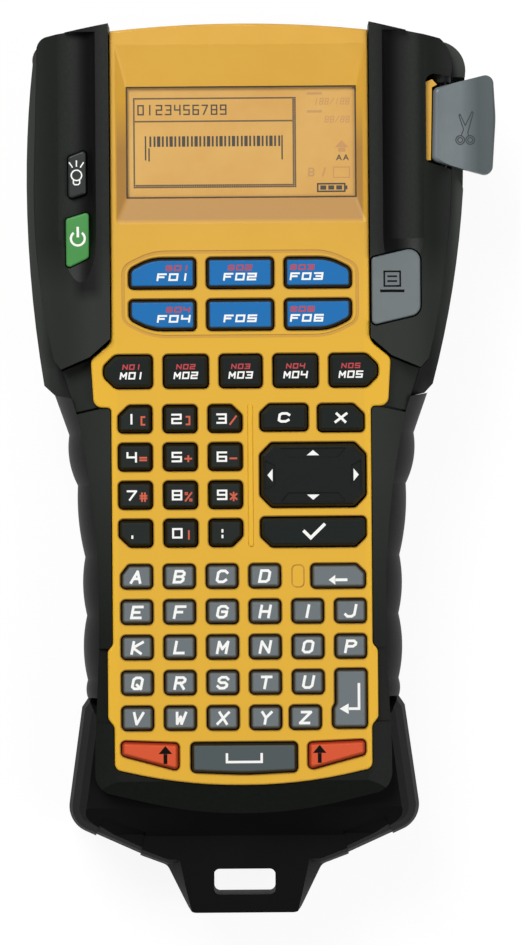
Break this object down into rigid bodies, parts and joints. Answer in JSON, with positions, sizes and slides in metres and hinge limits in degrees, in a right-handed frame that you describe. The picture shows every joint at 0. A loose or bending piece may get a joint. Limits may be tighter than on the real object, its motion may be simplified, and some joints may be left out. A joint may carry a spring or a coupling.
{
  "type": "handheld label maker",
  "caption": "Handheld industrial label maker with a backlit display, full alphabet keypad, side cutter lever, rear cassette door and strap lug.",
  "frame": {"origin": "middle of the flat rest bar across the back, just below the cassette door, on the plane that the back rests on", "axes": "+X to the right of the keypad, +Y towards the display end, +Z out of the keypad"},
  "size_m": [0.1357, 0.2574, 0.0561],
  "materials": {
    "yellow_plastic": "satin moulded",
    "black_plastic": "fine textured",
    "black_rubber": "matte",
    "grey_rubber": "matte",
    "clear_window": "clear",
    "display_glass": "backlit amber",
    "circuit_board": "solder mask",
    "cell_cans": "printed sleeve",
    "steel": "bright",
    "aluminium": "machined",
    "brass": "machined",
    "white_gear": "moulded",
    "label_tape": "coated film",
    "grey_plastic": "satin moulded",
    "black_keys": "satin",
    "grey_keys": "satin",
    "blue_keys": "satin",
    "red_keys": "satin",
    "green_keys": "satin"
  },
  "bodies": {
    "casing": {"front_panel": "yellow_plastic", "left_shoulder_cover": "black_plastic", "right_shoulder_cover": "black_plastic", "lower_frame": "black_plastic", "rear_case": "black_plastic", "left_side_grip": "black_rubber", "right_side_grip": "black_rubber", "bottom_bumper": "black_rubber", "door_hinge_pin": "steel", "display_window": "clear_window", "lcd_module": "display_glass", "main_circuit_board": "circuit_board", "keypad_mat": "grey_rubber", "power_jack": "black_plastic", "battery_cells": "cell_cans", "battery_contacts": "steel", "mechanism_chassis": "steel", "print_head": "aluminium", "drive_motor": "steel", "label_cassette": "grey_plastic", "cutter_pivot_pin": "steel", "lever_return_spring": "steel", "case_screws": "steel"},
    "hot_key_1": {"hot_key_1": "blue_keys"},
    "hot_key_2": {"hot_key_2": "blue_keys"},
    "hot_key_3": {"hot_key_3": "blue_keys"},
    "hot_key_4": {"hot_key_4": "blue_keys"},
    "hot_key_5": {"hot_key_5": "blue_keys"},
    "hot_key_6": {"hot_key_6": "blue_keys"},
    "function_keys": {"function_keys": "black_keys"},
    "clear_key": {"clear_key": "black_keys"},
    "escape_key": {"escape_key": "black_keys"},
    "ok_key": {"ok_key": "black_keys"},
    "number_row_1": {"number_row_1": "black_keys"},
    "number_row_2": {"number_row_2": "black_keys"},
    "number_row_3": {"number_row_3": "black_keys"},
    "number_row_4": {"number_row_4": "black_keys"},
    "letter_row_1": {"letter_row_1": "grey_keys"},
    "letter_row_2": {"letter_row_2": "grey_keys"},
    "letter_row_3": {"letter_row_3": "grey_keys"},
    "letter_row_4": {"letter_row_4": "grey_keys"},
    "letter_row_5": {"letter_row_5": "grey_keys"},
    "backspace_key": {"backspace_key": "grey_keys"},
    "enter_key": {"enter_key": "grey_keys"},
    "space_key": {"space_key": "grey_keys"},
    "left_shift_key": {"left_shift_key": "red_keys"},
    "right_shift_key": {"right_shift_key": "red_keys"},
    "backlight_button": {"backlight_button": "black_plastic"},
    "power_button": {"power_button": "green_keys"},
    "print_button": {"print_button": "grey_plastic"},
    "navigation_pivot": {"navigation_pivot": "black_keys"},
    "navigation_pad": {"navigation_pad": "black_keys"},
    "cassette_door": {"cassette_door": "black_plastic"},
    "battery_cover": {"battery_cover": "black_plastic"},
    "platen_roller": {"platen_roller": "black_rubber"},
    "idler_gear": {"idler_gear": "white_gear"},
    "motor_pinion": {"motor_pinion": "brass"},
    "label_tape_roll": {"label_tape_roll": "label_tape"},
    "cutter_lever": {"cutter_lever": "grey_plastic"},
    "cutter_blade": {"cutter_blade": "steel"}
  },
  "joints": [
    {"name": "hot_key_1_press", "type": "slide", "parent": "casing", "child": "hot_key_1", "axis": [0, 0, -1], "range_m": [0, 0.0012], "stiffness_N_per_m": 1300, "springref_m": -0.0006},
    {"name": "hot_key_2_press", "type": "slide", "parent": "casing", "child": "hot_key_2", "axis": [0, 0, -1], "range_m": [0, 0.0012], "stiffness_N_per_m": 1300, "springref_m": -0.0006},
    {"name": "hot_key_3_press", "type": "slide", "parent": "casing", "child": "hot_key_3", "axis": [0, 0, -1], "range_m": [0, 0.0012], "stiffness_N_per_m": 1300, "springref_m": -0.0006},
    {"name": "hot_key_4_press", "type": "slide", "parent": "casing", "child": "hot_key_4", "axis": [0, 0, -1], "range_m": [0, 0.0012], "stiffness_N_per_m": 1300, "springref_m": -0.0006},
    {"name": "hot_key_5_press", "type": "slide", "parent": "casing", "child": "hot_key_5", "axis": [0, 0, -1], "range_m": [0, 0.0012], "stiffness_N_per_m": 1300, "springref_m": -0.0006},
    {"name": "hot_key_6_press", "type": "slide", "parent": "casing", "child": "hot_key_6", "axis": [0, 0, -1], "range_m": [0, 0.0012], "stiffness_N_per_m": 1300, "springref_m": -0.0006},
    {"name": "function_keys_press", "type": "slide", "parent": "casing", "child": "function_keys", "axis": [0, 0, -1], "range_m": [0, 0.0012], "stiffness_N_per_m": 1300, "springref_m": -0.0006},
    {"name": "clear_key_press", "type": "slide", "parent": "casing", "child": "clear_key", "axis": [0, 0, -1], "range_m": [0, 0.0012], "stiffness_N_per_m": 1300, "springref_m": -0.0006},
    {"name": "escape_key_press", "type": "slide", "parent": "casing", "child": "escape_key", "axis": [0, 0, -1], "range_m": [0, 0.0012], "stiffness_N_per_m": 1300, "springref_m": -0.0006},
    {"name": "ok_key_press", "type": "slide", "parent": "casing", "child": "ok_key", "axis": [0, 0, -1], "range_m": [0, 0.0012], "stiffness_N_per_m": 1300, "springref_m": -0.0006},
    {"name": "number_row_1_press", "type": "slide", "parent": "casing", "child": "number_row_1", "axis": [0, 0, -1], "range_m": [0, 0.0012], "stiffness_N_per_m": 1300, "springref_m": -0.0006},
    {"name": "number_row_2_press", "type": "slide", "parent": "casing", "child": "number_row_2", "axis": [0, 0, -1], "range_m": [0, 0.0012], "stiffness_N_per_m": 1300, "springref_m": -0.0006},
    {"name": "number_row_3_press", "type": "slide", "parent": "casing", "child": "number_row_3", "axis": [0, 0, -1], "range_m": [0, 0.0012], "stiffness_N_per_m": 1300, "springref_m": -0.0006},
    {"name": "number_row_4_press", "type": "slide", "parent": "casing", "child": "number_row_4", "axis": [0, 0, -1], "range_m": [0, 0.0012], "stiffness_N_per_m": 1300, "springref_m": -0.0006},
    {"name": "letter_row_1_press", "type": "slide", "parent": "casing", "child": "letter_row_1", "axis": [0, 0, -1], "range_m": [0, 0.0012], "stiffness_N_per_m": 1300, "springref_m": -0.0006},
    {"name": "letter_row_2_press", "type": "slide", "parent": "casing", "child": "letter_row_2", "axis": [0, 0, -1], "range_m": [0, 0.0012], "stiffness_N_per_m": 1300, "springref_m": -0.0006},
    {"name": "letter_row_3_press", "type": "slide", "parent": "casing", "child": "letter_row_3", "axis": [0, 0, -1], "range_m": [0, 0.0012], "stiffness_N_per_m": 1300, "springref_m": -0.0006},
    {"name": "letter_row_4_press", "type": "slide", "parent": "casing", "child": "letter_row_4", "axis": [0, 0, -1], "range_m": [0, 0.0012], "stiffness_N_per_m": 1300, "springref_m": -0.0006},
    {"name": "letter_row_5_press", "type": "slide", "parent": "casing", "child": "letter_row_5", "axis": [0, 0, -1], "range_m": [0, 0.0012], "stiffness_N_per_m": 1300, "springref_m": -0.0006},
    {"name": "backspace_key_press", "type": "slide", "parent": "casing", "child": "backspace_key", "axis": [0, 0, -1], "range_m": [0, 0.0012], "stiffness_N_per_m": 1300, "springref_m": -0.0006},
    {"name": "enter_key_press", "type": "slide", "parent": "casing", "child": "enter_key", "axis": [0, 0, -1], "range_m": [0, 0.0012], "stiffness_N_per_m": 1300, "springref_m": -0.0006},
    {"name": "space_key_press", "type": "slide", "parent": "casing", "child": "space_key", "axis": [0, 0, -1], "range_m": [0, 0.0012], "stiffness_N_per_m": 1300, "springref_m": -0.0006},
    {"name": "left_shift_key_press", "type": "slide", "parent": "casing", "child": "left_shift_key", "axis": [0, 0, -1], "range_m": [0, 0.0012], "stiffness_N_per_m": 1300, "springref_m": -0.0006},
    {"name": "right_shift_key_press", "type": "slide", "parent": "casing", "child": "right_shift_key", "axis": [0, 0, -1], "range_m": [0, 0.0012], "stiffness_N_per_m": 1300, "springref_m": -0.0006},
    {"name": "backlight_button_press", "type": "slide", "parent": "casing", "child": "backlight_button", "axis": [0, 0, -1], "range_m": [0, 0.0012], "stiffness_N_per_m": 1300, "springref_m": -0.0006},
    {"name": "power_button_press", "type": "slide", "parent": "casing", "child": "power_button", "axis": [0, 0, -1], "range_m": [0, 0.0012], "stiffness_N_per_m": 1300, "springref_m": -0.0006},
    {"name": "print_button_press", "type": "slide", "parent": "casing", "child": "print_button", "axis": [0, 0, -1], "range_m": [0, 0.0012], "stiffness_N_per_m": 1300, "springref_m": -0.0006},
    {"name": "navigation_tilt_up_down", "type": "hinge", "parent": "casing", "child": "navigation_pivot", "pos_m": [0.0206, -0.046, 0.0502], "axis": [1, 0, 0], "range_deg": [-3, 3], "stiffness_Nm_per_rad": 0.46},
    {"name": "navigation_tilt_left_right", "type": "hinge", "parent": "navigation_pivot", "child": "navigation_pad", "pos_m": [0.0206, -0.046, 0.0502], "axis": [0, 1, 0], "range_deg": [-3, 3], "stiffness_Nm_per_rad": 0.46},
    {"name": "cassette_door_hinge", "type": "hinge", "parent": "casing", "child": "cassette_door", "pos_m": [0, 0.007, 0.0032], "axis": [-1, 0, 0], "range_deg": [0, 95]},
    {"name": "battery_cover_lift", "type": "slide", "parent": "casing", "child": "battery_cover", "axis": [0, 0, -1], "range_m": [0, 0.03]},
    {"name": "platen_spin", "type": "hinge", "parent": "casing", "child": "platen_roller", "pos_m": [0.0437, 0.0497, 0.03675], "axis": [0, 0, 1], "continuous": true},
    {"name": "idler_spin", "type": "hinge", "parent": "casing", "child": "idler_gear", "pos_m": [0.046, 0.03306, 0.03675], "axis": [0, 0, 1], "continuous": true},
    {"name": "pinion_spin", "type": "hinge", "parent": "casing", "child": "motor_pinion", "pos_m": [0.047, 0.01869, 0.03675], "axis": [0, 0, 1], "continuous": true},
    {"name": "tape_roll_spin", "type": "hinge", "parent": "casing", "child": "label_tape_roll", "pos_m": [-0.014, 0.0405, 0.0175], "axis": [0, 0, 1], "continuous": true},
    {"name": "cutter_lever_hinge", "type": "hinge", "parent": "casing", "child": "cutter_lever", "pos_m": [0.0585, 0.055, 0.044], "axis": [0, 1, 0], "range_deg": [0, 16], "stiffness_Nm_per_rad": 0.86, "springref_deg": -2.86},
    {"name": "cutter_blade_slide", "type": "slide", "parent": "casing", "child": "cutter_blade", "axis": [-1, 0, 0], "range_m": [0, 0.006]}
  ],
  "couplings": [
    {"joint": "idler_spin", "follows": "platen_spin", "ratio": -0.75},
    {"joint": "pinion_spin", "follows": "platen_spin", "ratio": 1.5},
    {"joint": "tape_roll_spin", "follows": "platen_spin", "ratio": 0.1636},
    {"joint": "cutter_blade_slide", "follows": "cutter_lever_hinge", "m_per_rad": 0.021}
  ]
}
